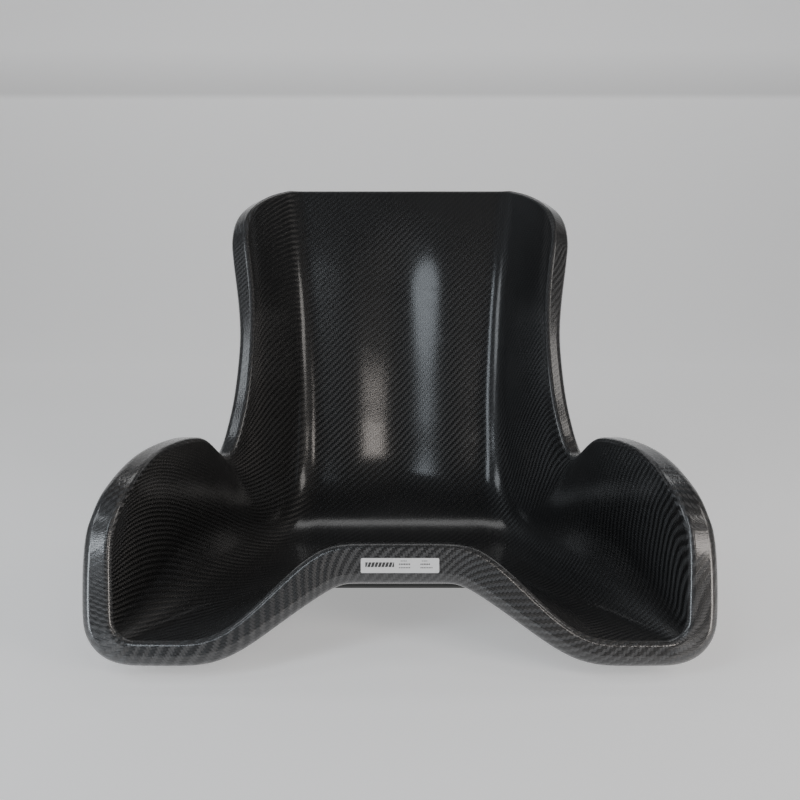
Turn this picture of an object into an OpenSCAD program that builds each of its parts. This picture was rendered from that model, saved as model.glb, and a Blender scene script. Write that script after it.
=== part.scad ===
// Kart racing seat: a one-piece carbon fibre bucket with a rolled lip all round.
// Millimetres. +X is the occupant's left-hand side seen from the front (image right), -Y is the front of
// the seat, +Z is up. The origin is the centre of the flat underside of the pan patch.
// The laminate is drawn as its separately cut plies: a face ply, a structural laminate, a back ply,
// six rim wraps, bonded patches and strips behind, and a label on the front lip.

/* [Overall size] */
// Width over the rolled lips at the front of the wings
seat_width = 432; // [396:1:480]
// Length from the front lip to the back of the top lip
seat_length = 486; // [445:1:535]
// Height of the top lip above the underside
seat_height = 358; // [325:1:400]

/* [Laminate] */
// Thickness of the visible face ply and the rim wraps
face_ply = 0.6; // [0.4:0.1:1]
// Thickness of the structural laminate between the face and back plies
core_ply = 2.4; // [1.8:0.1:3]
// Thickness of the back ply
back_ply = 0.5; // [0.4:0.1:1]

/* [Rolled lip] */
// Radius of the lip's inner edge, on the visible face
lip_edge_radius = 4.5; // [4:0.5:6]
// Width of the near-flat band along the wings and the lower back
lip_band = 6.5; // [4:0.5:10]
// Width of the band under the thighs, where the roll starts almost at once
lip_thigh_band = 4.5; // [1:0.5:6]
// Extra band width at the middle of the front lip, under half of it at the front of the wings
lip_front_extra = 8.5; // [5:0.5:12]
// Extra band width at the top corners
lip_top_extra = 7; // [0:0.5:10]
// Radius of the lip's outer roll, on the visible face
lip_roll_radius = 8; // [6:0.5:9]
// Length of the straight skirt after the outer roll
lip_skirt = 4; // [2:0.5:8]

/* [Shape] */
// Height of the pommel between the thigh channels
pommel_height = 56; // [20:1:66]
// How far the front edge is set back at the pommel
pommel_setback = 30; // [10:1:40]
// Depth of the spine channel below the two back panels
spine_depth = 8; // [2:0.5:12]

/* [Patches and label] */
// Least thickness of a mount patch under its flat land
patch_thickness = 1.6; // [1:0.1:3]
// Thickness of the strips bonded behind the back
strip_thickness = 0.8; // [0.4:0.1:1.5]
// Length of the label
label_length = 53; // [40:1:60]
// Height of the label
label_height = 10; // [8:0.5:13]
// Thickness of the label
label_thickness = 0.2; // [0.1:0.05:0.4]

/* [Hidden] */

carbon = [0.07, 0.07, 0.08];
glass = [0.16, 0.17, 0.16];

// How far the lip reaches beyond the rim line, and how far it stands above it
turn_in = 80;
turn_out = 95;
front_turn = 18;
wing_share = 0.33;
lip_reach = lip_edge_radius * (1 - cos(turn_in)) + (lip_band + wing_share * lip_front_extra) * sin(turn_in)
  + lip_roll_radius * (cos(turn_in) - cos(turn_in + turn_out));

wall = face_ply + core_ply + back_ply;

// Scale from the drawn stations to the driving sizes
kx = (seat_width / 2 - lip_reach) / 193.8;
ky = (seat_length - 26) / 460;
kz = seat_height / 358;

// Ten stations from the front lip, along the pan, round the tailbone and up the back.
// base_y, base_z: the middle of the pan and back in side view
base_y = [-188, -140, -74, 0, 78, 132, 168, 201, 235, 272] * ky;
base_z = [23, 16, 8, 0, 3, 36, 107, 187, 270, 349] * kz;
// rim_x, rim_y, rim_z: where the side wall meets the lip
rim_x = [194, 189, 183, 170, 158, 148, 146, 151, 162, 173] * kx;
rim_y = [-166, -138, -81, -6, 44, 80, 118, 154, 188, 216] * ky;
rim_z = [86, 109, 122, 116, 88, 125, 180, 234, 292, 349] * kz;
// bend_x: half width where the pan or back panel turns up into the side wall, bend_r: radius of that turn
bend_x = [188, 182, 170, 148, 122, 108, 104, 106, 112, 120] * kx;
bend_r = [15, 32, 54, 56, 44, 34, 28, 26, 26, 26] * kx;
last = len(base_y) - 1;
// The lowest inner face stands this far above the floor: the wall and the pan patch are under it
floor_gap = wall + patch_thickness;

// Grid: u runs across, v along the stations
across = 14;
along = 36;
flat_end = 6;
turn_end = 10;
nu = 2 * across;
nv = along;
loop_n = 2 * (nu + nv);

function smooth(t) = let (c = min(max(t, 0), 1)) c * c * (3 - 2 * c);
function station(tab, i) = i < 0 ? 2 * tab[0] - tab[1] : i > last ? 2 * tab[last] - tab[last - 1] : tab[i];
// Smooth curve through the stations
function along_curve(tab, v) = let (
    t = min(max(v, 0), 1) * last, i = min(floor(t), last - 1), f = t - i,
    a = station(tab, i - 1), b = station(tab, i), c = station(tab, i + 1), d = station(tab, i + 2))
  0.5 * (2 * b + (c - a) * f + (2 * a - 5 * b + 4 * c - d) * f * f + (3 * b - a - 3 * c + d) * f * f * f);

// The top corners are cut back to a chamfer, and the front corners are rounded
top_cut = 0.10;
front_cut = 0.02;
function corner(a, from) = let (t = min(max((a - from) / (1 - from), 0), 1)) 1 - sqrt(max(1 - t * t, 0));
function edge_v(a, v) = let (
    hi = 1 - top_cut * corner(a, 0.64), lo = front_cut * corner(a, 0.88))
  lo + v * (hi - lo);

// Half width of the spine channel, which runs between the stations where the window opens and closes
spine_half = 62;
// A point of the visible face: flat, then a fillet, then the flared wall
function face_point(i, j) = let (
    n = abs(i - across),
    v = edge_v(n / across, j / nv),
    by = along_curve(base_y, v), bz = along_curve(base_z, v) + floor_gap,
    rx = along_curve(rim_x, v), ry = along_curve(rim_y, v), rz = along_curve(rim_z, v) + floor_gap,
    bx = along_curve(bend_x, v), r = along_curve(bend_r, v),
    d = norm([ry - by, rz - bz]), ey = (ry - by) / d, ez = (rz - bz) / d,
    turn = atan2(d, rx - bx), tangent = r * tan(turn / 2),
    run = (bx - tangent) * min(n / flat_end, 1),
    th = turn * min(max((n - flat_end) / (turn_end - flat_end), 0), 1),
    q = (norm([rx - bx, d]) - tangent) * min(max((n - turn_end) / (across - turn_end), 0), 1),
    x = run + r * sin(th) + q * cos(turn),
    h = r * (1 - cos(th)) + q * sin(turn),
    pommel = (1 - smooth((x / kx - 40) / 94)) * (1 - smooth(v / 0.30)),
    window = smooth((v - 0.50) / 0.12) * (1 - smooth((v - 0.86) / 0.11)),
    lift = h - spine_depth * (1 - smooth(x / kx / spine_half)) * window)
  [sign(i - across) * x, by + ey * lift + pommel_setback * pommel, bz + ez * lift + pommel_height * pommel];

face = [for (j = [0:nv]) [for (i = [0:nu]) face_point(i, j)]];
function unit(a) = a / norm(a);
face_normal = [for (j = [0:nv]) [for (i = [0:nu]) unit(cross(
    face[j][min(i + 1, nu)] - face[j][max(i - 1, 0)],
    face[min(j + 1, nv)][i] - face[max(j - 1, 0)][i]))]];

// The rim as one closed loop: front, right side, top, left side
function loop_ij(k) = let (m = (k + loop_n) % loop_n)
  m <= nu ? [m, 0] : m <= nu + nv ? [nu, m - nu] : m <= 2 * nu + nv ? [2 * nu + nv - m, nv] : [0, loop_n - m];
function loop_k(i, j) = j == 0 ? i : i == nu ? nu + j : j == nv ? 2 * nu + nv - i : loop_n - j;
function rounder(list, times) = times == 0 ? list : rounder([for (k = [0:loop_n - 1])
    unit(list[(k + loop_n - 1) % loop_n] + 2 * list[k] + list[(k + 1) % loop_n])], times - 1);
loop_point = [for (k = [0:loop_n - 1]) let (p = loop_ij(k)) face[p[1]][p[0]]];
loop_up = rounder([for (k = [0:loop_n - 1]) let (p = loop_ij(k))
    face_normal[min(max(p[1], 1), nv - 1)][min(max(p[0], 1), nu - 1)]], 4);
loop_along = [for (k = [0:loop_n - 1])
    unit(loop_point[(k + 1) % loop_n] - loop_point[(k + loop_n - 1) % loop_n])];
loop_out = rounder([for (k = [0:loop_n - 1]) unit(cross(loop_along[k], loop_up[k]))], 3);
loop_normal = [for (k = [0:loop_n - 1]) unit(loop_up[k] - loop_out[k] * (loop_up[k] * loop_out[k]))];

// Lip profile: turn in, band, turn out, skirt. Each row is [heading, along the sheet, behind the sheet]
turn_rows = 3;
roll_rows = 3;
rows = turn_rows + 1 + roll_rows + 1;
function band_at(k) = let (p = loop_ij(k), x = abs(loop_point[k][0]) / kx, z = (loop_point[k][2] - floor_gap) / kz)
  p[1] == 0 ? lip_thigh_band + max(smooth((z - 25) / 50), smooth((x - 176) / 12))
      * (lip_band - lip_thigh_band + lip_front_extra * (1 - (1 - wing_share) * smooth((x - 60) / 60)))
  : p[1] < nv / 2 ? lip_band + wing_share * lip_front_extra * (1 - smooth(p[1] / 9))
  : lip_band + lip_top_extra * smooth((z - 185) / 100) * smooth((x - 100) / 50);
// The lip turns further over at the pommel, so that its band faces forwards
function turn_at(k) = turn_in
  + (loop_ij(k)[1] == 0 ? front_turn * (1 - smooth((abs(loop_point[k][0]) / kx - 36) / 84)) : 0);
function lip_row(m, band, turn) = let (
    a1 = turn * min(m / turn_rows, 1),
    a2 = (turn_in + turn_out - turn) * min(max((m - turn_rows - 1) / roll_rows, 0), 1),
    b = band * min(max(m - turn_rows, 0), 1),
    e = lip_skirt * max(m - turn_rows - 1 - roll_rows, 0),
    r1 = lip_edge_radius, r2 = lip_roll_radius)
  [a1 + a2,
    r1 * sin(a1) + b * cos(turn) + r2 * (sin(turn + a2) - sin(turn)) + e * cos(turn_in + turn_out),
    r1 * (1 - cos(a1)) + b * sin(turn) + r2 * (cos(turn) - cos(turn + a2)) + e * sin(turn_in + turn_out)];
function lip_point(k, m, depth) = let (c = (k + loop_n) % loop_n, p = lip_row(m, band_at(c), turn_at(c)))
  loop_point[c] + loop_out[c] * (p[1] - depth * sin(p[0])) - loop_normal[c] * (p[2] + depth * cos(p[0]));
function sheet_point(i, j, depth) =
  i == 0 || i == nu || j == 0 || j == nv ? lip_point(loop_k(i, j), 0, depth)
    : face[j][i] - face_normal[j][i] * depth;

// A quad as two triangles, with the diagonal mirrored about the middle of the seat
function quad(a, b, c, d, flip) = flip ? [[a, b, c], [a, c, d]] : [[a, b, d], [b, c, d]];
function reversed(faces) = [for (f = faces) [f[2], f[1], f[0]]];

// Faces of a closed slab from two equal grids of points, each w wide and n long
function slab_faces(w, n, flips) = let (
    at = function (s, i, j) s * w * n + j * w + i,
    top = [for (j = [0:n - 2], i = [0:w - 2])
      each quad(at(0, i, j), at(0, i, j + 1), at(0, i + 1, j + 1), at(0, i + 1, j), flips[i])],
    low = [for (j = [0:n - 2], i = [0:w - 2])
      each reversed(quad(at(1, i, j), at(1, i, j + 1), at(1, i + 1, j + 1), at(1, i + 1, j), flips[i]))],
    ends = [for (j = [0, n - 1], i = [0:w - 2]) each (j == 0
      ? quad(at(0, i, j), at(0, i + 1, j), at(1, i + 1, j), at(1, i, j), true)
      : quad(at(0, i, j), at(1, i, j), at(1, i + 1, j), at(0, i + 1, j), true))],
    sides = [for (i = [0, w - 1], j = [0:n - 2]) each (i == 0
      ? quad(at(0, i, j), at(1, i, j), at(1, i, j + 1), at(0, i, j + 1), true)
      : quad(at(0, i, j), at(0, i, j + 1), at(1, i, j + 1), at(1, i, j), true))])
  concat(top, low, ends, sides);

// Part of the sheet between two depths behind the visible face
module sheet(i0, i1, j0, j1, d0, d1) {
  polyhedron(points = [for (d = [d0, d1], j = [j0:j1], i = [i0:i1]) sheet_point(i, j, d)],
    faces = slab_faces(i1 - i0 + 1, j1 - j0 + 1, [for (i = [i0:i1]) i < across]));
}

// Part of the lip between two depths
module lip(k0, k1, m0, m1, d0, d1) {
  polyhedron(points = [for (d = [d0, d1], m = [m0:m1], k = [k1:-1:k0]) lip_point(k, m, d)],
    faces = slab_faces(k1 - k0 + 1, m1 - m0 + 1, [for (k = [k1:-1:k0 + 1]) lip_flip(k - 1)]));
}
function lip_flip(k) = let (c = (k + loop_n) % loop_n)
  (c < across) || (c >= nu + nv + across && c < 2 * nu + 2 * nv);

// The whole sheet with its whole lip, as one closed slab
module tub(d0, d1) {
  grid = (nu + 1) * (nv + 1);
  half = grid + loop_n * rows;
  at = function (s, i, j) s * half + j * (nu + 1) + i;
  rim = function (s, k, m) let (c = (k + loop_n) % loop_n, p = loop_ij(c))
    m == 0 ? at(s, p[0], p[1]) : s * half + grid + (m - 1) * loop_n + c;
  points = [for (d = [d0, d1]) each concat(
    [for (j = [0:nv], i = [0:nu]) sheet_point(i, j, d)],
    [for (m = [1:rows], k = [0:loop_n - 1]) lip_point(k, m, d)])];
  faces = concat(
    [for (j = [0:nv - 1], i = [0:nu - 1])
      each quad(at(0, i, j), at(0, i, j + 1), at(0, i + 1, j + 1), at(0, i + 1, j), i < across)],
    [for (j = [0:nv - 1], i = [0:nu - 1])
      each reversed(quad(at(1, i, j), at(1, i, j + 1), at(1, i + 1, j + 1), at(1, i + 1, j), i < across))],
    [for (m = [0:rows - 1], k = [0:loop_n - 1])
      each quad(rim(0, k + 1, m), rim(0, k + 1, m + 1), rim(0, k, m + 1), rim(0, k, m), lip_flip(k))],
    [for (m = [0:rows - 1], k = [0:loop_n - 1])
      each reversed(quad(rim(1, k + 1, m), rim(1, k + 1, m + 1), rim(1, k, m + 1), rim(1, k, m), lip_flip(k)))],
    [for (k = [0:loop_n - 1])
      each quad(rim(0, k, rows), rim(0, k + 1, rows), rim(1, k + 1, rows), rim(1, k, rows), true)]);
  polyhedron(points = points, faces = faces);
}

// A patch bonded on the back ply whose outer face is one flat plane across the given axis
function land_height(i0, i1, j0, j1, axis) =
  max([for (j = [j0:j1], i = [i0:i1]) sheet_point(i, j, wall) * axis]) + patch_thickness;
module land_patch(i0, i1, j0, j1, axis, h) {
  inner = [for (j = [j0:j1], i = [i0:i1]) sheet_point(i, j, wall)];
  polyhedron(points = concat(inner, [for (p = inner) p + axis * (h - p * axis)]),
    faces = slab_faces(i1 - i0 + 1, j1 - j0 + 1, [for (i = [i0:i1]) i < across]));
}

module side_land(i0, i1, j0, j1, axis) { land_patch(i0, i1, j0, j1, axis, land_height(i0, i1, j0, j1, axis)); }

// Rows of the grid that the patches and strips take
notch_row = 16;
hip_rows = [18, 21];
hip_cols = [11, 13];
front_rows = [5, 8];
front_cols = [6, 8];
pan_rows = [10, 16];
pan_cols = 4;
strip_rows = [19, 32];
function hip_axis(s) = -face_normal[round((hip_rows[0] + hip_rows[1]) / 2)][across + s * 12];
function front_axis(s) = -face_normal[round((front_rows[0] + front_rows[1]) / 2)][across + s * 7];

module seat_face_ply() { color(carbon) sheet(0, nu, 0, nv, 0, face_ply); }
module structural_laminate() { color(glass) tub(face_ply, face_ply + core_ply); }
module back_face_ply() { color(carbon) sheet(0, nu, 0, nv, face_ply + core_ply, wall); }

module rim_wrap_front() { color(carbon) lip(0, nu, 0, rows, 0, face_ply); }
module rim_wrap_wing_right() { color(carbon) lip(nu, nu + notch_row, 0, rows, 0, face_ply); }
module rim_wrap_back_right() { color(carbon) lip(nu + notch_row, nu + nv, 0, rows, 0, face_ply); }
module rim_wrap_top() { color(carbon) lip(nu + nv, 2 * nu + nv, 0, rows, 0, face_ply); }
module rim_wrap_back_left() { color(carbon) lip(2 * nu + nv, 2 * nu + 2 * nv - notch_row, 0, rows, 0, face_ply); }
module rim_wrap_wing_left() { color(carbon) lip(2 * nu + 2 * nv - notch_row, loop_n, 0, rows, 0, face_ply); }

module pan_floor_patch() {
  color(glass) land_patch(across - pan_cols, across + pan_cols, pan_rows[0], pan_rows[1], [0, 0, -1], 0);
}
module hip_mount_patch_right() {
  color(glass) side_land(across + hip_cols[0], across + hip_cols[1], hip_rows[0], hip_rows[1], hip_axis(1));
}
module hip_mount_patch_left() {
  color(glass) side_land(across - hip_cols[1], across - hip_cols[0], hip_rows[0], hip_rows[1], hip_axis(-1));
}
module front_mount_patch_right() {
  color(glass) side_land(across + front_cols[0], across + front_cols[1], front_rows[0], front_rows[1], front_axis(1));
}
module front_mount_patch_left() {
  color(glass) side_land(across - front_cols[1], across - front_cols[0], front_rows[0], front_rows[1], front_axis(-1));
}

module bend_strip_right() {
  color(carbon) sheet(across + 7, across + 9, strip_rows[0], strip_rows[1], wall, wall + strip_thickness);
}
module bend_strip_left() {
  color(carbon) sheet(across - 9, across - 7, strip_rows[0], strip_rows[1], wall, wall + strip_thickness);
}
module spine_strip() {
  color(carbon) sheet(across - 1, across + 1, strip_rows[0], strip_rows[1], wall, wall + strip_thickness);
}

// The label lies on the band of the front lip, at its middle and close to the band's lower edge
label_margin = 0.3;
module lip_label() {
  a = lip_point(across, turn_rows, 0);
  b = lip_point(across, turn_rows + 1, 0);
  down = unit(b - a);
  out = unit(cross(down, [1, 0, 0]));
  mid = b - down * (label_height / 2 + label_margin);
  color([0.93, 0.93, 0.92])
    multmatrix([[1, down[0], out[0], mid[0]], [0, down[1], out[1], mid[1]], [0, down[2], out[2], mid[2]], [0, 0, 0, 1]])
      translate([-label_length / 2, -label_height / 2, 0]) cube([label_length, label_height, label_thickness]);
}

seat_face_ply();
structural_laminate();
back_face_ply();
rim_wrap_front();
rim_wrap_wing_right();
rim_wrap_back_right();
rim_wrap_top();
rim_wrap_back_left();
rim_wrap_wing_left();
pan_floor_patch();
hip_mount_patch_left();
hip_mount_patch_right();
front_mount_patch_left();
front_mount_patch_right();
bend_strip_left();
bend_strip_right();
spine_strip();
lip_label();
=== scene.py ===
import math

import bpy
import numpy as np
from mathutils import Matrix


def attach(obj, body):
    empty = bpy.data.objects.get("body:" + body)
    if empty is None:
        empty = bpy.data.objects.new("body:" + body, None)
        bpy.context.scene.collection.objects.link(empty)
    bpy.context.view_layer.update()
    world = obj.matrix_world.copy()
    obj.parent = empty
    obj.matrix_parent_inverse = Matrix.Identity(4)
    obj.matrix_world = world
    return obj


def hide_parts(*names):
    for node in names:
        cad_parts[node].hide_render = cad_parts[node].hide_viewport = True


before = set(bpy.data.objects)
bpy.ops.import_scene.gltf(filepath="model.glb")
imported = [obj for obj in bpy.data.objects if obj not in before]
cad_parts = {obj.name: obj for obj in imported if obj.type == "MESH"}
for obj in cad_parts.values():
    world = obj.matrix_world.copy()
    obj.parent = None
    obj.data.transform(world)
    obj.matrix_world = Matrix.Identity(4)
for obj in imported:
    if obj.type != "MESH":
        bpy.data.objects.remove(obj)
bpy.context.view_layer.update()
print("frame loaded")

# The shell in mm: ten stations from the front lip, along the pan and up the back.
# base is the middle of the pan in side view, rim is where the side wall meets the lip,
# bend is where the pan or back panel turns up into the wall
shell = {
    "baseY": [-188, -140, -74, 0, 78, 132, 168, 201, 235, 272],
    "baseZ": [28.1, 21.1, 13.1, 5.1, 8.1, 41.1, 112.1, 192.1, 275.1, 354.1],
    "rimX": [194, 189, 183, 170, 158, 148, 146, 151, 162, 173],
    "rimY": [-166, -138, -81, -6, 44, 80, 118, 154, 188, 216],
    "rimZ": [91.1, 114.1, 127.1, 121.1, 93.1, 130.1, 185.1, 239.1, 297.1, 354.1],
    "bendX": [188, 182, 170, 148, 122, 108, 104, 106, 112, 120],
    "bendR": [15, 32, 54, 56, 44, 34, 28, 26, 26, 26],
    "flatEnd": 6 / 14, "turnEnd": 10 / 14,
    "topCut": 0.10, "topFrom": 0.64, "frontCut": 0.02, "frontFrom": 0.88,
    "pommelHeight": 56, "pommelBack": 30, "pommelFrom": 40, "pommelTo": 134, "pommelEnd": 0.30,
    "spineDepth": 8, "spineHalf": 62, "spineWindow": [0.50, 0.62, 0.86, 0.97],
    "facePly": 0.6, "corePly": 2.4, "backPly": 0.5,
    "floorGap": 5.1,  # how far the shell stands above the underside of its pan patch
    "across": 196, "along": 252, "blocksAlong": 36,
}
lipSizes = {
    "edgeR": 4.5, "rollR": 8, "skirt": 4, "turnIn": 80, "turnAll": 175,
    "band": 6.5, "thighBand": 4.5, "frontExtra": 8.5, "topExtra": 7, "wingShare": 0.33,
    "thighFrom": 25, "thighRise": 50, "cornerFrom": 176, "cornerRun": 12, "wingFrom": 60, "wingRun": 60,
    "topFrom": 185, "topRise": 100, "topSideFrom": 100, "topSideRun": 50,
    "frontTurn": 18, "frontTurnFrom": 36, "frontTurnRun": 84,
    "turnRows": 8, "bandRows": 4, "rollRows": 14, "skirtRows": 2, "wingBlocks": 16,
}
# how many times each surface and line is averaged
passes = {"face": 9, "rimUp": 30, "rimOut": 20, "normal": 8, "cloth": 40, "clothOut": 12, "lip": 20}
tow = 1.8  # width of one tow of the twill, mm


def easeStep(t):
    t = np.clip(t, 0, 1)
    return t * t * (3 - 2 * t)


def alongCurve(key, v):
    # Catmull-Rom through the stations: each span is a cubic
    # whose end slopes are half the gap between the neighbours
    p = np.array(shell[key], float)
    n = len(p)
    p = np.concatenate([[2 * p[0] - p[1]], p, [2 * p[-1] - p[-2]]])
    t = np.clip(v, 0, 1) * (n - 1)
    i = np.minimum(t.astype(int), n - 2)
    f = t - i
    a, b, c, d = p[i], p[i + 1], p[i + 2], p[i + 3]
    return 0.5 * (2 * b + (c - a) * f + (2 * a - 5 * b + 4 * c - d) * f ** 2
                  + (3 * b - a - 3 * c + d) * f ** 3)


def edgeV(a, v):
    # a quarter ellipse cuts the top corners back, and another rounds the front corners
    def corner(start):
        return 1 - np.sqrt(np.maximum(1 - np.clip((a - start) / (1 - start), 0, 1) ** 2, 0))
    hi = 1 - shell["topCut"] * corner(shell["topFrom"])
    lo = shell["frontCut"] * corner(shell["frontFrom"])
    return lo + v * (hi - lo)


def facePoint(u, v0):
    # each section lies in the plane of the x axis and the line from base to rim:
    # a flat run, an arc through the wall's angle, then the straight flared wall
    a = np.abs(u)
    v = edgeV(a, v0)
    curves = ("baseY", "baseZ", "rimX", "rimY", "rimZ", "bendX", "bendR")
    by, bz, rx, ry, rz, bx, r = [alongCurve(key, v) for key in curves]
    d = np.hypot(ry - by, rz - bz)
    ey, ez = (ry - by) / d, (rz - bz) / d
    turn = np.arctan2(d, rx - bx)
    tangent = r * np.tan(turn / 2)
    run = (bx - tangent) * np.minimum(a / shell["flatEnd"], 1)
    th = turn * np.clip((a - shell["flatEnd"]) / (shell["turnEnd"] - shell["flatEnd"]), 0, 1)
    q = (np.hypot(rx - bx, d) - tangent) * np.clip((a - shell["turnEnd"]) / (1 - shell["turnEnd"]), 0, 1)
    x = run + r * np.sin(th) + q * np.cos(turn)
    h = r * (1 - np.cos(th)) + q * np.sin(turn)
    # the pommel is a smooth step down in x and again back along the pan
    pommel = (1 - easeStep((x - shell["pommelFrom"]) / (shell["pommelTo"] - shell["pommelFrom"]))) \
        * (1 - easeStep(v / shell["pommelEnd"]))
    # the spine channel: one smooth valley behind the plane of the two back panels
    w = shell["spineWindow"]
    window = easeStep((v - w[0]) / (w[1] - w[0])) * (1 - easeStep((v - w[2]) / (w[3] - w[2])))
    lift = h - shell["spineDepth"] * (1 - easeStep(x / shell["spineHalf"])) * window
    return np.stack([np.sign(u) * x, by + ey * lift + shell["pommelBack"] * pommel,
                     bz + ez * lift + shell["pommelHeight"] * pommel], -1)


def unit(a):
    return a / np.maximum(np.linalg.norm(a, axis=-1, keepdims=True), 1e-9)


def roundLoop(a, times, keepLength=False):
    # repeated 1-2-1 averaging round the closed rim
    for _ in range(times):
        a = (np.roll(a, 1, 0) + 2 * a + np.roll(a, -1, 0)) / 4
        if not keepLength:
            a = unit(a)
    return a


def gridNormals(g):
    return unit(np.cross(np.gradient(g, axis=1), np.gradient(g, axis=0)))


# ---- the visible face as one grid, with its rim as a closed loop
nu, nv = shell["across"], shell["along"]
cell = nv // shell["blocksAlong"]  # grid steps in one block of the CAD's coarser grid
middle = nu // 2
uGrid, vGrid = np.meshgrid(np.linspace(-1, 1, nu + 1), np.linspace(0, 1, nv + 1))
face = facePoint(uGrid, vGrid)
ring = np.concatenate([
    np.stack([np.zeros(nu + 1, int), np.arange(nu + 1)], 1),
    np.stack([np.arange(1, nv + 1), np.full(nv, nu)], 1),
    np.stack([np.full(nu, nv), np.arange(nu - 1, -1, -1)], 1),
    np.stack([np.arange(nv - 1, 0, -1), np.zeros(nv - 1, int)], 1)])
ringJ, ringI = ring[:, 0], ring[:, 1]
# soften the joins between flat, arc and wall: the rim along itself, the inside against its neighbours
for _ in range(passes["face"]):
    face[ringJ, ringI] = roundLoop(face[ringJ, ringI], 1, True)
    face[1:-1, 1:-1] = (face[1:-1, :-2] + face[1:-1, 2:] + face[:-2, 1:-1] + face[2:, 1:-1]) / 4
rimPoint = face[ringJ, ringI]
rimAlong = unit(np.roll(rimPoint, -1, 0) - np.roll(rimPoint, 1, 0))
rimUp = roundLoop(gridNormals(face)[np.clip(ringJ, 5, nv - 5), np.clip(ringI, 5, nu - 5)], passes["rimUp"])
rimOut = roundLoop(unit(np.cross(rimAlong, rimUp)), passes["rimOut"])
rimNormal = unit(rimUp - rimOut * (rimUp * rimOut).sum(1, keepdims=True))
faceNormal = gridNormals(face)
faceNormal[ringJ, ringI] = rimNormal
for _ in range(passes["normal"]):
    faceNormal[1:-1, 1:-1] = unit(faceNormal[1:-1, :-2] + faceNormal[1:-1, 2:]
                                  + faceNormal[:-2, 1:-1] + faceNormal[2:, 1:-1])
print("shell surface ready")

# cloth coordinates in tows: run lengths along the grid lines,
# from the middle line and from seven tenths of the way to the top
stepU = np.linalg.norm(np.diff(face, axis=1), axis=2)
clothU = np.concatenate([np.zeros((nv + 1, 1)), np.cumsum(stepU, 1)], 1)
clothU = (clothU - clothU[:, middle:middle + 1]) / tow
stepV = np.linalg.norm(np.diff(face, axis=0), axis=2)
clothV = np.concatenate([np.zeros((1, nu + 1)), np.cumsum(stepV, 0)], 0)
clothFrom = int(nv * 0.7)
clothV = (clothV - clothV[clothFrom:clothFrom + 1, :]) / tow
for _ in range(passes["cloth"]):
    clothV[:, 1:-1] = (clothV[:, :-2] + 2 * clothV[:, 1:-1] + clothV[:, 2:]) / 4
cloth = np.stack([clothU, clothV], -1)
# the cloth runs on over the rim, by its own gradient just inside it
inJ, inI = np.clip(ringJ, 3, nv - 3), np.clip(ringI, 3, nu - 3)
inward = face[ringJ, ringI] - face[inJ, inI]
rimCloth = cloth[ringJ, ringI]
clothOut = (rimCloth - cloth[inJ, inI]) / np.maximum((inward * rimOut).sum(1, keepdims=True), 0.5)
clothOut = roundLoop(unit(clothOut) / tow, passes["clothOut"], True)


def lipProfile(band, turn):
    # heading, distance along the sheet and distance behind it: arc in, straight band, arc out, straight skirt
    s = lipSizes
    turn, total = np.radians(turn), math.radians(s["turnAll"])
    a = np.linspace(0, 1, s["turnRows"] + 1)
    b = np.linspace(0, 1, s["bandRows"] + 1)[1:]
    c = np.linspace(0, 1, s["rollRows"] + 1)[1:]
    e = np.linspace(0, 1, s["skirtRows"] + 1)[1:]
    zero = np.zeros_like
    inPart = np.concatenate([a, zero(b) + 1, zero(c) + 1, zero(e) + 1])[:, None] * turn
    bandPart = np.concatenate([zero(a), b, zero(c) + 1, zero(e) + 1])[:, None] * band
    outPart = np.concatenate([zero(a), zero(b), c, zero(e) + 1])[:, None] * (total - turn)
    skirt = np.concatenate([zero(a), zero(b), zero(c), e])[:, None] * s["skirt"]
    x = s["edgeR"] * np.sin(inPart) + bandPart * np.cos(turn) \
        + s["rollR"] * (np.sin(turn + outPart) - np.sin(turn)) + skirt * math.cos(total)
    y = s["edgeR"] * (1 - np.cos(inPart)) + bandPart * np.sin(turn) \
        + s["rollR"] * (np.cos(turn) - np.cos(turn + outPart)) + skirt * math.sin(total)
    return inPart + outPart, x, y, s["edgeR"] * inPart + bandPart + s["rollR"] * outPart + skirt


def bandAround():
    # on the front edge the band widens with height, along the wings it narrows to its plain width
    # in the first quarter, and it widens again at the top corners
    s = lipSizes
    x, z = np.abs(rimPoint[:, 0]), rimPoint[:, 2] - shell["floorGap"]
    wide = np.maximum(easeStep((z - s["thighFrom"]) / s["thighRise"]),
                      easeStep((x - s["cornerFrom"]) / s["cornerRun"]))
    share = 1 - (1 - s["wingShare"]) * easeStep((x - s["wingFrom"]) / s["wingRun"])
    front = s["thighBand"] + wide * (s["band"] - s["thighBand"] + s["frontExtra"] * share)
    wing = s["band"] + s["wingShare"] * s["frontExtra"] * (1 - easeStep(ringJ / nv * 4))
    top = s["band"] + s["topExtra"] * easeStep((z - s["topFrom"]) / s["topRise"]) \
        * easeStep((x - s["topSideFrom"]) / s["topSideRun"])
    return np.where(ringJ == 0, front, np.where(ringJ < nv / 2, wing, top))


def turnAround():
    # the first turn is sharper along the pommel, and eases to the plain one towards the wings
    s = lipSizes
    ease = easeStep((np.abs(rimPoint[:, 0]) - s["frontTurnFrom"]) / s["frontTurnRun"])
    return s["turnIn"] + np.where(ringJ == 0, s["frontTurn"] * (1 - ease), 0)


lipHead, lipX, lipY, lipRun = lipProfile(roundLoop(bandAround(), passes["lip"], True),
                                         roundLoop(turnAround(), passes["lip"], True))


def lipSurface(depth):
    # rows of the lip profile round the rim, moved towards the roll's centre by the depth
    x = lipX - depth * np.sin(lipHead)
    y = lipY + depth * np.cos(lipHead)
    return rimPoint + rimOut * x[..., None] - rimNormal * y[..., None]


lipNormal = rimNormal * np.cos(lipHead)[..., None] + rimOut * np.sin(lipHead)[..., None]
lipCloth = rimCloth + clothOut * lipRun[..., None]


def sheetSurface(depth):
    g = face - faceNormal * depth
    g[ringJ, ringI] = rimPoint - rimNormal * depth
    return g


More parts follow.
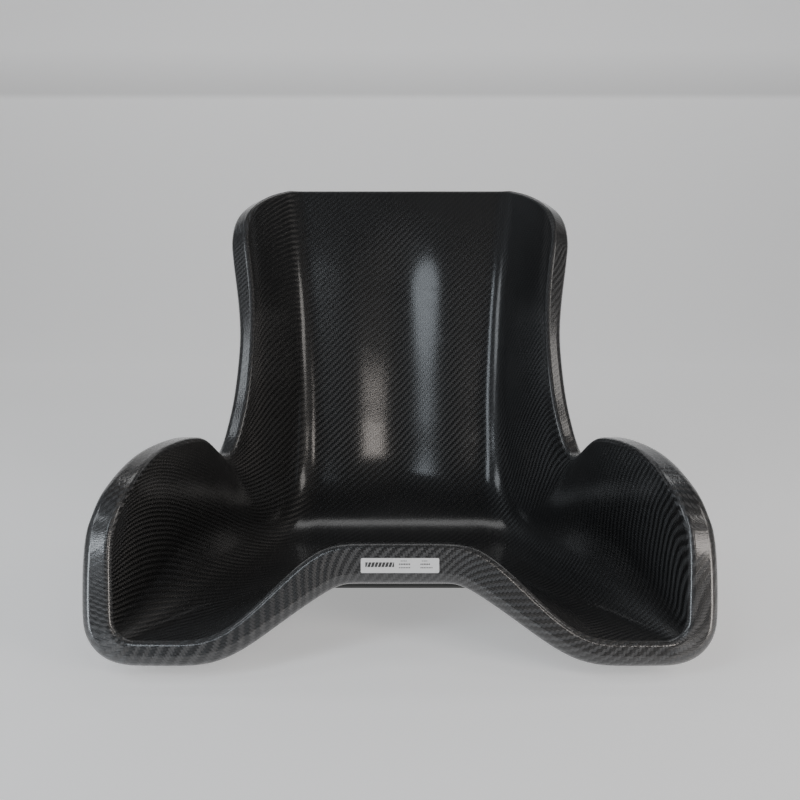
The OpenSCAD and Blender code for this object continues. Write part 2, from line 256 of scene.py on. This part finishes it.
# ---- mesh helpers
def addMesh(name, verts, quads, uv, normals=None):
    # verts in mm, quads as rows of four indices, uv per vertex in tows, normals per vertex or none
    mesh = bpy.data.meshes.new(name)
    mesh.vertices.add(len(verts))
    mesh.vertices.foreach_set("co", (np.asarray(verts) / 1000).astype(np.float32).ravel())
    mesh.loops.add(quads.size)
    mesh.loops.foreach_set("vertex_index", quads.astype(np.int32).ravel())
    mesh.polygons.add(len(quads))
    mesh.polygons.foreach_set("loop_start", np.arange(0, quads.size, 4, dtype=np.int32))
    mesh.update(calc_edges=True)
    mesh.polygons.foreach_set("use_smooth", np.ones(len(quads), bool))
    layer = mesh.uv_layers.new(name="cloth")
    layer.data.foreach_set("uv", np.asarray(uv)[quads.ravel()].astype(np.float32).ravel())
    if normals is not None:
        mesh.normals_split_custom_set(np.asarray(normals)[quads.ravel()].astype(np.float32))
    obj = bpy.data.objects.new(name, mesh)
    bpy.context.scene.collection.objects.link(obj)
    return obj


def slab(name, front, back, uv, frontNormal, closed=False):
    # a closed plate between two equal grids; closed joins the last column to the first
    rows, cols = front.shape[:2]
    idx = np.arange(rows * cols).reshape(rows, cols)
    if closed:
        idx = np.concatenate([idx, idx[:, :1]], 1)
    off = rows * cols
    a, b, c, d = idx[:-1, :-1], idx[:-1, 1:], idx[1:, 1:], idx[1:, :-1]
    frontQ = np.stack([a, b, c, d], -1).reshape(-1, 4)
    backQ = np.stack([d, c, b, a], -1).reshape(-1, 4) + off
    # the edge faces get corners of their own, so that the thin edge stays crisp
    verts = [front.reshape(-1, 3), back.reshape(-1, 3)]
    uvs = [uv.reshape(-1, 2), uv.reshape(-1, 2)]
    normals = [frontNormal.reshape(-1, 3), -frontNormal.reshape(-1, 3)]
    quads = [frontQ, backQ]
    base = 2 * off
    lines = [idx[0, ::-1], idx[-1, :]]
    if not closed:
        lines += [idx[:, 0], idx[::-1, -1]]
    for line in lines:
        p, q = front.reshape(-1, 3)[line], back.reshape(-1, 3)[line]
        across = unit(np.cross(np.gradient(p, axis=0), q - p))
        n = len(line)
        verts += [p, q]
        uvs += [uv.reshape(-1, 2)[line]] * 2
        normals += [across, across]
        k = np.arange(n - 1) + base
        quads.append(np.stack([k, k + n, k + n + 1, k + 1], 1)[:, ::-1])
        base += 2 * n
    return addMesh(name, np.concatenate(verts), np.concatenate(quads),
                   np.concatenate(uvs), np.concatenate(normals))


# ---- shader node groups
def mathNode(tree, op, a, b=None, c=None, clamp=False):
    node = tree.nodes.new("ShaderNodeMath")
    node.operation = op
    node.use_clamp = clamp
    for k, value in enumerate((a, b, c)):
        if value is None:
            continue
        if isinstance(value, (int, float)):
            node.inputs[k].default_value = value
        else:
            tree.links.new(value, node.inputs[k])
    return node.outputs[0]


def noiseNode(tree, vector, scale, detail=2.0, roughness=0.5):
    node = tree.nodes.new("ShaderNodeTexNoise")
    node.inputs["Scale"].default_value = scale
    node.inputs["Detail"].default_value = detail
    node.inputs["Roughness"].default_value = roughness
    tree.links.new(vector, node.inputs["Vector"])
    return node


def pickNode(tree, mask, low, high):
    # the low value where the mask is 0, the high one where it is 1
    node = tree.nodes.new("ShaderNodeMix")
    tree.links.new(mask, node.inputs["Factor"])
    tree.links.new(low, node.inputs["A"])
    tree.links.new(high, node.inputs["B"])
    return node.outputs["Result"]


def tintNode(tree, level, gains):
    node = tree.nodes.new("ShaderNodeCombineColor")
    for k, gain in enumerate(gains):
        tree.links.new(mathNode(tree, "MULTIPLY", level, gain), node.inputs[k])
    return node.outputs[0]


def bumpNode(tree, height, strength, distance):
    node = tree.nodes.new("ShaderNodeBump")
    node.inputs["Strength"].default_value = strength
    node.inputs["Distance"].default_value = distance
    tree.links.new(height, node.inputs["Height"])
    return node.outputs[0]


def newMaterial(name):
    mat = bpy.data.materials.new(name)
    mat.use_nodes = True
    return mat, mat.node_tree, mat.node_tree.nodes["Principled BSDF"]


def clothNode(tree):
    node = tree.nodes.new("ShaderNodeUVMap")
    node.uv_map = "cloth"
    return node.outputs[0]


def newGroup(name, inputs, outputs):
    group = bpy.data.node_groups.new(name, "ShaderNodeTree")
    for label, kind, value in inputs:
        socket = group.interface.new_socket(label, in_out="INPUT", socket_type=kind)
        if value is not None:
            socket.default_value = value
    for label, kind in outputs:
        group.interface.new_socket(label, in_out="OUTPUT", socket_type=kind)
    return group, group.nodes.new("NodeGroupInput"), group.nodes.new("NodeGroupOutput")


def towDome(tree, across):
    # one minus the distance from the tow's middle to the power 2.6
    off = mathNode(tree, "ABSOLUTE", mathNode(tree, "MULTIPLY_ADD", across, 2.0, -1.0))
    return mathNode(tree, "SUBTRACT", 1.0, mathNode(tree, "POWER", off, 2.6))


def makeTwillGroup():
    # 2x2 twill from cloth coordinates in tows: which tow is on top, its rounded height and its fibre streaks
    t, gin, gout = newGroup(
        "twillWeave",
        [("Cloth", "NodeSocketVector", None), ("Streaks", "NodeSocketFloat", 1.0)],
        [("Warp", "NodeSocketFloat"), ("Height", "NodeSocketFloat"), ("Streak", "NodeSocketFloat")])
    # slight wander of the tows, so that the weave isn't ruler straight
    wander = noiseNode(t, gin.outputs["Cloth"], 0.035, 1.0)
    centred = t.nodes.new("ShaderNodeVectorMath")
    centred.operation = "SUBTRACT"
    t.links.new(wander.outputs["Color"], centred.inputs[0])
    centred.inputs[1].default_value = (0.5, 0.5, 0.5)
    moved = t.nodes.new("ShaderNodeVectorMath")
    moved.operation = "MULTIPLY_ADD"
    t.links.new(centred.outputs[0], moved.inputs[0])
    moved.inputs[1].default_value = (2.2, 2.2, 0)
    t.links.new(gin.outputs["Cloth"], moved.inputs[2])
    parts = t.nodes.new("ShaderNodeSeparateXYZ")
    t.links.new(moved.outputs[0], parts.inputs[0])
    x, y = parts.outputs[0], parts.outputs[1]
    cx, cy = mathNode(t, "FLOOR", x), mathNode(t, "FLOOR", y)
    fx, fy = mathNode(t, "FRACT", x), mathNode(t, "FRACT", y)
    phase = mathNode(t, "FLOORED_MODULO", mathNode(t, "SUBTRACT", cx, cy), 4.0)
    warp = mathNode(t, "LESS_THAN", phase, 1.5)
    # across a tow: a flattened dome; along its float of two: a half sine
    domeX, domeY = towDome(t, fx), towDome(t, fy)
    # along the warp the phase falls as y rises, along the weft it rises with x
    alongWarp = mathNode(t, "MULTIPLY", mathNode(t, "ADD", mathNode(t, "SUBTRACT", 1.0, phase), fy), 0.5)
    alongWeft = mathNode(t, "MULTIPLY", mathNode(t, "ADD", mathNode(t, "SUBTRACT", phase, 2.0), fx), 0.5)
    crownWarp = mathNode(t, "SINE", mathNode(t, "MULTIPLY", alongWarp, math.pi))
    crownWeft = mathNode(t, "SINE", mathNode(t, "MULTIPLY", alongWeft, math.pi))
    hWarp = mathNode(t, "MULTIPLY", domeX, mathNode(t, "MULTIPLY_ADD", crownWarp, 0.55, 0.45))
    hWeft = mathNode(t, "MULTIPLY", domeY, mathNode(t, "MULTIPLY_ADD", crownWeft, 0.55, 0.45))
    height = pickNode(t, warp, hWeft, hWarp)
    # filament streaks run along whichever tow is on top
    streaks = []
    for scale in ((9.0, 0.55, 1.0), (0.55, 9.0, 1.0)):
        drawn = t.nodes.new("ShaderNodeVectorMath")
        drawn.operation = "MULTIPLY"
        t.links.new(moved.outputs[0], drawn.inputs[0])
        drawn.inputs[1].default_value = scale
        streaks.append(noiseNode(t, drawn.outputs[0], 1.0).outputs["Fac"])
    streak = mathNode(t, "SUBTRACT", pickNode(t, warp, streaks[1], streaks[0]), 0.5)
    streak = mathNode(t, "MULTIPLY", streak, gin.outputs["Streaks"])
    t.links.new(warp, gout.inputs["Warp"])
    t.links.new(height, gout.inputs["Height"])
    t.links.new(streak, gout.inputs["Streak"])
    return t


def makeWearGroup():
    # broad patches of tone and faint handling marks, from object coordinates
    group, gin, gout = newGroup(
        "handledSurface",
        [("Vector", "NodeSocketVector", None), ("Amount", "NodeSocketFloat", 1.0)],
        [("Tone", "NodeSocketFloat"), ("Marks", "NodeSocketFloat")])
    broad = noiseNode(group, gin.outputs["Vector"], 7.0, 3.0)
    fine = noiseNode(group, gin.outputs["Vector"], 60.0, 5.0, 0.65)
    ramp = group.nodes.new("ShaderNodeMapRange")
    ramp.inputs["From Min"].default_value = 0.52
    ramp.inputs["From Max"].default_value = 0.75
    group.links.new(fine.outputs["Fac"], ramp.inputs["Value"])
    tone = mathNode(group, "SUBTRACT", broad.outputs["Fac"], 0.5)
    tone = mathNode(group, "MULTIPLY", tone, gin.outputs["Amount"])
    marks = mathNode(group, "MULTIPLY", ramp.outputs["Result"], gin.outputs["Amount"])
    group.links.new(tone, gout.inputs["Tone"])
    group.links.new(marks, gout.inputs["Marks"])
    return group


twillGroup = makeTwillGroup()
wearGroup = makeWearGroup()


def wearNode(tree, amount=1.0):
    coord = tree.nodes.new("ShaderNodeTexCoord")
    node = tree.nodes.new("ShaderNodeGroup")
    node.node_tree = wearGroup
    node.inputs["Amount"].default_value = amount
    tree.links.new(coord.outputs["Object"], node.inputs["Vector"])
    return node


def carbonMaterial(name, look):
    # dark fibre under a clear coat: the tow on top sets the direction of the fibre's sheen
    mat, t, bsdf = newMaterial(name)
    weave = t.nodes.new("ShaderNodeGroup")
    weave.node_tree = twillGroup
    weave.inputs["Streaks"].default_value = look["streaks"]
    t.links.new(clothNode(t), weave.inputs["Cloth"])
    wear = wearNode(t, look["wear"])
    # colour: dark resin between the tows, lighter crowns, and a painted sheen: the warp tows a little lighter
    # than the weft, standing in for the glint the lamps give fibres of one direction
    level = mathNode(t, "MULTIPLY_ADD", weave.outputs["Height"], look["crown"], look["base"])
    level = mathNode(t, "ADD", level, mathNode(t, "MULTIPLY", weave.outputs["Warp"], look["paintedWarpSheen"]))
    level = mathNode(t, "MULTIPLY", level, mathNode(t, "MULTIPLY_ADD", weave.outputs["Streak"], 1.6, 1.0))
    tone = mathNode(t, "MULTIPLY_ADD", wear.outputs["Tone"], 0.5, 1.0)
    level = mathNode(t, "MULTIPLY", level, tone, clamp=True)
    t.links.new(tintNode(t, level, look["tint"]), bsdf.inputs["Base Color"])
    bsdf.inputs["Specular IOR Level"].default_value = look["fibre"]
    rough = mathNode(t, "MULTIPLY_ADD", weave.outputs["Streak"], -0.25, look["roughness"])
    t.links.new(rough, bsdf.inputs["Roughness"])
    bsdf.inputs["Anisotropic"].default_value = look["anisotropic"]
    # fibres scatter across themselves, so the weft turns the sheen by a quarter
    quarter = mathNode(t, "MULTIPLY_ADD", weave.outputs["Warp"], -0.25, 0.25)
    t.links.new(quarter, bsdf.inputs["Anisotropic Rotation"])
    tangent = t.nodes.new("ShaderNodeTangent")
    tangent.direction_type = "UV_MAP"
    tangent.uv_map = "cloth"
    t.links.new(tangent.outputs[0], bsdf.inputs["Tangent"])
    t.links.new(bumpNode(t, weave.outputs["Height"], look["bump"], 0.00035), bsdf.inputs["Normal"])
    # clear coat with a trace of the weave printed through, and faint marks
    bsdf.inputs["Coat Weight"].default_value = look["coat"]
    coatRough = mathNode(t, "MULTIPLY_ADD", wear.outputs["Marks"], 0.05, look["coatRoughness"])
    t.links.new(coatRough, bsdf.inputs["Coat Roughness"])
    t.links.new(bumpNode(t, weave.outputs["Height"], look["coatBump"], 0.00012), bsdf.inputs["Coat Normal"])
    return mat


# the warp tows' extra colour in these looks is painted sheen, standing in for light glinting along the fibres of
# one direction
carbonLook = {
    "streaks": 1.0, "wear": 1.0, "base": 0.001, "crown": 0.009, "paintedWarpSheen": 0.006, "tint": (1.0, 1.0, 1.03),
    "fibre": 0.55, "roughness": 0.54, "anisotropic": 0.9, "bump": 0.55,
    "coat": 1.0, "coatRoughness": 0.145, "coatBump": 0.1,
}
# the rim's copy is painted lighter: crowns twice and warp tows three times the face's colour, standing in for
# the light the rolled lip catches, beside a glossier coat and a stronger weave print
rimPaintedLitLook = {"base": 0.0015, "crown": 0.018, "paintedWarpSheen": 0.018, "fibre": 0.8,
           "coatRoughness": 0.1, "coatBump": 0.22}
backLook = {"coatRoughness": 0.22, "coat": 0.6, "wear": 1.6}
stripLook = {"paintedWarpSheen": 0.0, "crown": 0.006, "coat": 0.5, "coatRoughness": 0.25}
faceMat = carbonMaterial("twillFace", carbonLook)
rimPaintedLitMat = carbonMaterial("twillRimPaintedLit", {**carbonLook, **rimPaintedLitLook})
backMat = carbonMaterial("twillBack", {**carbonLook, **backLook})
stripMat = carbonMaterial("stripCarbon", {**carbonLook, **stripLook})


def laminateMaterial():
    # cut edge and bare patches: resin-rich grey-green layers with fine grain
    mat, t, bsdf = newMaterial("bareLaminate")
    wear = wearNode(t, 1.5)
    coord = t.nodes.new("ShaderNodeTexCoord")
    grain = noiseNode(t, coord.outputs["Object"], 420.0, 4.0)
    level = mathNode(t, "MULTIPLY_ADD", grain.outputs["Fac"], 0.05, 0.02)
    level = mathNode(t, "MULTIPLY", level, mathNode(t, "MULTIPLY_ADD", wear.outputs["Tone"], 0.8, 1.0))
    t.links.new(tintNode(t, level, (1.0, 1.04, 0.98)), bsdf.inputs["Base Color"])
    t.links.new(mathNode(t, "MULTIPLY_ADD", grain.outputs["Fac"], 0.25, 0.42), bsdf.inputs["Roughness"])
    t.links.new(bumpNode(t, grain.outputs["Fac"], 0.25, 0.0003), bsdf.inputs["Normal"])
    return mat


laminateMat = laminateMaterial()
print("materials ready")


def place(obj, mat, slotName, *nodes):
    obj.data.materials.append(mat)
    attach(obj, "root")
    if nodes:
        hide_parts(*nodes)
    return obj


# ---- face ply: the whole inside of the bucket
ply = shell["facePly"]
core = ply + shell["corePly"]
wall = core + shell["backPly"]
facePly = slab("facePly", sheetSurface(0), sheetSurface(ply), cloth, faceNormal)
place(facePly, faceMat, "twill_carbon", "seat_face_ply")

# ---- rim wraps: six lengths of the rolled lip
frontLip, backLip = lipSurface(0), lipSurface(ply)
notch = lipSizes["wingBlocks"] * cell
ringN = len(ringJ)
rimSpans = {
    "rimFront": (0, nu, "rim_wrap_front"),
    "rimWingRight": (nu, nu + notch, "rim_wrap_wing_right"),
    "rimBackRight": (nu + notch, nu + nv, "rim_wrap_back_right"),
    "rimTop": (nu + nv, 2 * nu + nv, "rim_wrap_top"),
    "rimBackLeft": (2 * nu + nv, 2 * nu + 2 * nv - notch, "rim_wrap_back_left"),
    "rimWingLeft": (2 * nu + 2 * nv - notch, ringN, "rim_wrap_wing_left"),
}
for name, (start, stop, node) in rimSpans.items():
    cols = np.arange(stop, start - 1, -1) % ringN
    piece = slab(name, frontLip[:, cols], backLip[:, cols], lipCloth[:, cols], lipNormal[:, cols])
    place(piece, rimPaintedLitMat, "rim_carbon", node)
print("face and rim ready")


# ---- structural laminate: the hidden layers, which show only at the lip's inside and cut edge
def tub(name, d0, d1, every):
    # the sheet and the lip as one closed plate, on every second grid line when every is 2
    sheet0, sheet1 = sheetSurface(d0)[::every, ::every], sheetSurface(d1)[::every, ::every]
    lip0, lip1 = lipSurface(d0)[1:, ::every][::every], lipSurface(d1)[1:, ::every][::every]
    n, m = sheet0.shape[:2]
    grid = np.arange(n * m).reshape(n, m)
    loopIdx = grid[ringJ[::every] // every, ringI[::every] // every]
    rows, ringLen = lip0.shape[:2]
    lipIdx = n * m + np.arange(rows * ringLen).reshape(rows, ringLen)
    rim = np.concatenate([loopIdx[None], lipIdx], 0)
    rim = np.concatenate([rim, rim[:, :1]], 1)
    half = n * m + rows * ringLen

    def sheetQuads(g):
        return np.stack([g[:-1, :-1], g[:-1, 1:], g[1:, 1:], g[1:, :-1]], -1).reshape(-1, 4)
    front = np.concatenate([sheetQuads(grid), sheetQuads(rim[:, ::-1])])
    end = np.stack([rim[-1, :-1], rim[-1, :-1] + half, rim[-1, 1:] + half, rim[-1, 1:]], -1)
    verts = np.concatenate([part.reshape(-1, 3) for part in (sheet0, lip0, sheet1, lip1)])

    def sheetAndLip(onSheet, onLip):
        size = onSheet.shape[-1]
        return np.concatenate([onSheet[::every, ::every].reshape(-1, size),
                               onLip[1:, ::every][::every].reshape(-1, size)])
    uv1 = sheetAndLip(cloth, lipCloth)
    normal1 = sheetAndLip(faceNormal, lipNormal)
    return addMesh(name, verts, np.concatenate([front, front[:, ::-1] + half, end]),
                   np.concatenate([uv1, uv1]), np.concatenate([normal1, -normal1]))


place(tub("laminate", ply, core, 2), laminateMat, "laminate", "structural_laminate")

# ---- back ply: the outside of the bucket
half = (slice(None, None, 2), slice(None, None, 2))  # every second grid line
backPly = slab("backPly", sheetSurface(core)[half], sheetSurface(wall)[half], cloth[half], faceNormal[half])
place(backPly, backMat, "back_carbon", "back_face_ply")
print("laminate and back ready")


# ---- patches bonded under the shell, each with one flat land, and the carbon strips behind the back
patchSizes = {"thickness": 1.6, "soften": 3.0, "edgeDrop": 0.55, "clothScale": 1.4,
              "strip": 0.8, "stripSoften": 2.0, "stripEdge": 0.25, "stripRows": (19, 32)}


def borderDistance(g):
    # distance in mm from the nearest side of the grid
    downSteps = np.linalg.norm(np.diff(g, axis=0), axis=2)
    overSteps = np.linalg.norm(np.diff(g, axis=1), axis=2)
    rows = np.concatenate([np.zeros((1, g.shape[1])), np.cumsum(downSteps, 0)], 0)
    cols = np.concatenate([np.zeros((g.shape[0], 1)), np.cumsum(overSteps, 1)], 1)
    return np.minimum(np.minimum(rows, rows[-1:] - rows), np.minimum(cols, cols[:, -1:] - cols))


def landPatch(name, node, i0, i1, j0, j1, axis, height=None):
    # the inner side follows the shell, the outer side is a plane across the axis, and it sinks at the borders
    inner = sheetSurface(wall)[j0:j1 + 1, i0:i1 + 1]
    level = inner @ axis
    height = level.max() + patchSizes["thickness"] if height is None else height
    edge = borderDistance(inner) / patchSizes["soften"]
    rise = 1 - patchSizes["edgeDrop"] * (1 - np.sqrt(1 - (1 - np.clip(edge, 0, 1)) ** 2))
    outer = inner + axis * ((height - level) * rise)[..., None]
    normal = unit(np.cross(np.gradient(outer, axis=0), np.gradient(outer, axis=1)))
    normal *= np.sign((normal @ axis).mean())
    uv = cloth[j0:j1 + 1, i0:i1 + 1] * patchSizes["clothScale"]
    piece = slab(name, outer[:, ::-1], inner[:, ::-1], uv[:, ::-1], normal[:, ::-1])
    return place(piece, laminateMat, "laminate", node)


landPatch("floorPatch", "pan_floor_patch", middle - 4 * cell, middle + 4 * cell, 10 * cell, 16 * cell,
          np.array([0.0, 0.0, -1.0]), 0.0)
for side, label in ((1, "Right"), (-1, "Left")):
    for name, i, cols, j in (("hip", 12, (11, 13), (18, 21)), ("front", 7, (6, 8), (5, 8))):
        axis = -faceNormal[int(round(sum(j) / 2)) * cell, middle + side * i * cell]
        lo, hi = sorted((middle + side * cols[0] * cell, middle + side * cols[1] * cell))
        node = name + "_mount_patch_" + label.lower()
        landPatch(name + "Patch" + label, node, lo, hi, j[0] * cell, j[1] * cell, axis)


def strip(name, node, i0, i1):
    # a ply laid over the back, thinning to a quarter at its borders
    s = patchSizes
    rows = slice(s["stripRows"][0] * cell, s["stripRows"][1] * cell + 1)
    cols = slice(middle + i0 * cell, middle + i1 * cell + 1)
    inner = sheetSurface(wall)[rows, cols]
    rise = s["stripEdge"] + (1 - s["stripEdge"]) * easeStep(borderDistance(inner) / s["stripSoften"])
    normal = faceNormal[rows, cols]
    outer = inner - normal * (s["strip"] * rise)[..., None]
    piece = slab(name, outer[:, ::-1], inner[:, ::-1], cloth[rows, cols][:, ::-1], -normal[:, ::-1])
    return place(piece, stripMat, "strip_carbon", node)


strip("stripRight", "bend_strip_right", 7, 9)
strip("stripLeft", "bend_strip_left", -9, -7)
strip("stripSpine", "spine_strip", -1, 1)
print("patches and strips ready")


# ---- label on the band of the front lip
def labelMaterial():
    # white film with plain printed bars, no lettering
    mat, t, bsdf = newMaterial("labelFilm")
    parts = t.nodes.new("ShaderNodeSeparateXYZ")
    t.links.new(clothNode(t), parts.inputs[0])
    x, y = parts.outputs[0], parts.outputs[1]

    def band(value, lo, hi):
        above = mathNode(t, "GREATER_THAN", value, lo)
        return mathNode(t, "MULTIPLY", above, mathNode(t, "LESS_THAN", value, hi))
    # one bold row of slanted blocks at the left, and thin rows of small blocks beside it
    slant = mathNode(t, "MULTIPLY_ADD", y, -0.35, x)
    blocks = mathNode(t, "GREATER_THAN", mathNode(t, "FRACT", mathNode(t, "MULTIPLY", slant, 0.42)), 0.22)
    ink = mathNode(t, "MULTIPLY", blocks, mathNode(t, "MULTIPLY", band(x, 3.0, 22.5), band(y, 4.0, 7.2)))
    small = mathNode(t, "GREATER_THAN", mathNode(t, "FRACT", mathNode(t, "MULTIPLY", x, 0.9)), 0.3)
    rows = ((25.5, 33.5, 5.4, 6.4), (25.5, 33.5, 3.2, 3.9), (40.0, 47.0, 5.4, 6.4),
            (40.0, 48.5, 3.2, 3.9), (27.0, 31.0, 7.8, 8.4), (41.0, 45.0, 7.8, 8.4))
    for lo, hi, y0, y1 in rows:
        piece = mathNode(t, "MULTIPLY", small, mathNode(t, "MULTIPLY", band(x, lo, hi), band(y, y0, y1)))
        ink = mathNode(t, "MAXIMUM", ink, piece)
    wear = wearNode(t)
    paper = mathNode(t, "MULTIPLY_ADD", wear.outputs["Tone"], 0.12, 0.72)
    level = mathNode(t, "MULTIPLY", paper, mathNode(t, "MULTIPLY_ADD", ink, -0.93, 1.0))
    t.links.new(tintNode(t, level, (1.0, 1.0, 1.0)), bsdf.inputs["Base Color"])
    t.links.new(mathNode(t, "MULTIPLY_ADD", wear.outputs["Marks"], 0.2, 0.33), bsdf.inputs["Roughness"])
    return mat


labelSizes = {"length": 53, "height": 10, "thick": 0.2, "corner": 1.0, "margin": 0.3,
              "cols": 61, "rows": 13}


def labelGrid():
    # a rectangle with rounded corners: the sides draw in by a quarter circle near each end
    s = labelSizes
    t = np.linspace(-1, 1, s["cols"])
    w = np.linspace(-1, 1, s["rows"])
    reach = s["length"] / 2 * np.sin(t * math.pi / 2)
    near = np.clip((np.abs(reach) - (s["length"] / 2 - s["corner"])) / s["corner"], 0, 1)
    half = s["height"] / 2 - s["corner"] * (1 - np.sqrt(1 - near ** 2))
    return np.stack([np.tile(reach, (s["rows"], 1)), w[:, None] * half[None]], -1)


bandA = frontLip[lipSizes["turnRows"], middle]
bandB = frontLip[lipSizes["turnRows"] + lipSizes["bandRows"], middle]
down = unit(bandB - bandA)
lift = unit(np.cross(down, [1.0, 0.0, 0.0]))
plan = labelGrid()
centre = bandB - down * (labelSizes["height"] / 2 + labelSizes["margin"])
flat = centre + plan[..., :1] * np.array([1.0, 0, 0]) - plan[..., 1:] * down
labelNormal = np.broadcast_to(lift, flat.shape)
labelTop = flat + lift * labelSizes["thick"]
labelUv = plan + np.array([labelSizes["length"], labelSizes["height"]]) / 2
place(slab("lipLabel", labelTop, flat, labelUv, labelNormal), labelMaterial(), "label_film", "lip_label")
print("label ready")


# ---- floor, light and camera
def makeFloor():
    # a pale sweep: level under the seat, then a quarter circle up into a wall behind it
    s = {"half": 3.2, "front": -2.6, "bend": 1.5, "radius": 0.9, "top": 2.6,
         "levelRows": 30, "bendRows": 60, "wallRows": 12, "cols": 40}
    turn = np.linspace(0, 1, s["bendRows"]) * math.pi / 2
    y = np.concatenate([np.linspace(s["front"], s["bend"], s["levelRows"]),
                        s["bend"] + s["radius"] * np.sin(turn), np.full(s["wallRows"], s["bend"] + s["radius"])])
    z = np.concatenate([np.zeros(s["levelRows"]), s["radius"] * (1 - np.cos(turn)),
                        np.linspace(s["radius"], s["top"], s["wallRows"])])
    x = np.linspace(-s["half"], s["half"], s["cols"])
    grid = np.stack([np.broadcast_to(x, (len(y), len(x))), np.broadcast_to(y[:, None], (len(y), len(x))),
                     np.broadcast_to(z[:, None], (len(y), len(x)))], -1)
    idx = np.arange(len(y) * len(x)).reshape(len(y), len(x))
    quads = np.stack([idx[:-1, :-1], idx[:-1, 1:], idx[1:, 1:], idx[1:, :-1]], -1).reshape(-1, 4)
    floor = addMesh("floorSweep", grid.reshape(-1, 3) * 1000, quads, grid[..., :2].reshape(-1, 2))
    mat, tree, bsdf = newMaterial("paleFloor")
    coord = tree.nodes.new("ShaderNodeTexCoord")
    noise = noiseNode(tree, coord.outputs["Object"], 3.0)
    level = mathNode(tree, "MULTIPLY_ADD", noise.outputs["Fac"], 0.03, 0.78)
    tree.links.new(tintNode(tree, level, (1.0, 1.0, 1.01)), bsdf.inputs["Base Color"])
    bsdf.inputs["Roughness"].default_value = 0.85
    bsdf.inputs["Emission Color"].default_value = (1.0, 1.0, 1.0, 1)
    bsdf.inputs["Emission Strength"].default_value = 0.42
    floor.data.materials.append(mat)
    return floor


makeFloor()

lightSizes = {
    "coolLeft": {"at": (-0.5, -0.95, 1.16), "size": (0.24, 0.62), "power": 2.4, "color": (0.84, 0.92, 1.0)},
    "warmRight": {"at": (0.44, -1.12, 0.90), "size": (0.16, 0.34), "power": 1.5, "color": (1.0, 0.92, 0.86)},
    "coolSide": {"at": (-1.1, -1.0, 0.45), "size": (0.3, 0.9), "power": 9, "color": (0.86, 0.93, 1.0)},
    "warmSide": {"at": (1.1, -1.0, 0.45), "size": (0.3, 0.9), "power": 9, "color": (1.0, 0.93, 0.87)},
    "coolFar": {"at": (-1.16, -0.36, 1.11), "size": (0.4, 0.4), "power": 2.0, "color": (0.9, 0.95, 1.0)},
    "warmFar": {"at": (1.16, -0.36, 1.11), "size": (0.4, 0.4), "power": 2.0, "color": (1.0, 0.96, 0.92)},
    "topFill": {"at": (0, 1.35, 2.7), "size": (2.0, 0.5), "power": 7, "color": (1.0, 1.0, 1.0)},
}
for name, s in lightSizes.items():
    data = bpy.data.lights.new(name, "AREA")
    data.shape = "RECTANGLE"
    data.size, data.size_y = s["size"]
    data.energy = s["power"]
    data.color = s["color"]
    lamp = bpy.data.objects.new(name, data)
    bpy.context.scene.collection.objects.link(lamp)
    lamp.location = s["at"]
    aim = np.array([0, 0.05, 0.18]) - np.array(s["at"])
    aim = aim / np.linalg.norm(aim)
    lamp.rotation_euler = (math.acos(-aim[2]), 0, math.atan2(aim[0], -aim[1]) + math.pi)

world = bpy.data.worlds.new("studio")
world.use_nodes = True
world.node_tree.nodes["Background"].inputs[0].default_value = (0.8, 0.84, 0.9, 1)
world.node_tree.nodes["Background"].inputs[1].default_value = 0.04
bpy.context.scene.world = world

camSizes = {"y": -0.676, "z": 0.271, "pitch": 9.6, "lens": 35.7}
camData = bpy.data.cameras.new("camera")
camData.lens = camSizes["lens"]
camData.sensor_width = 36
camera = bpy.data.objects.new("camera", camData)
bpy.context.scene.collection.objects.link(camera)
camera.location = (0, camSizes["y"], camSizes["z"])
camera.rotation_euler = (math.radians(90 - camSizes["pitch"]), 0, 0)
bpy.context.scene.camera = camera
print("stage ready")
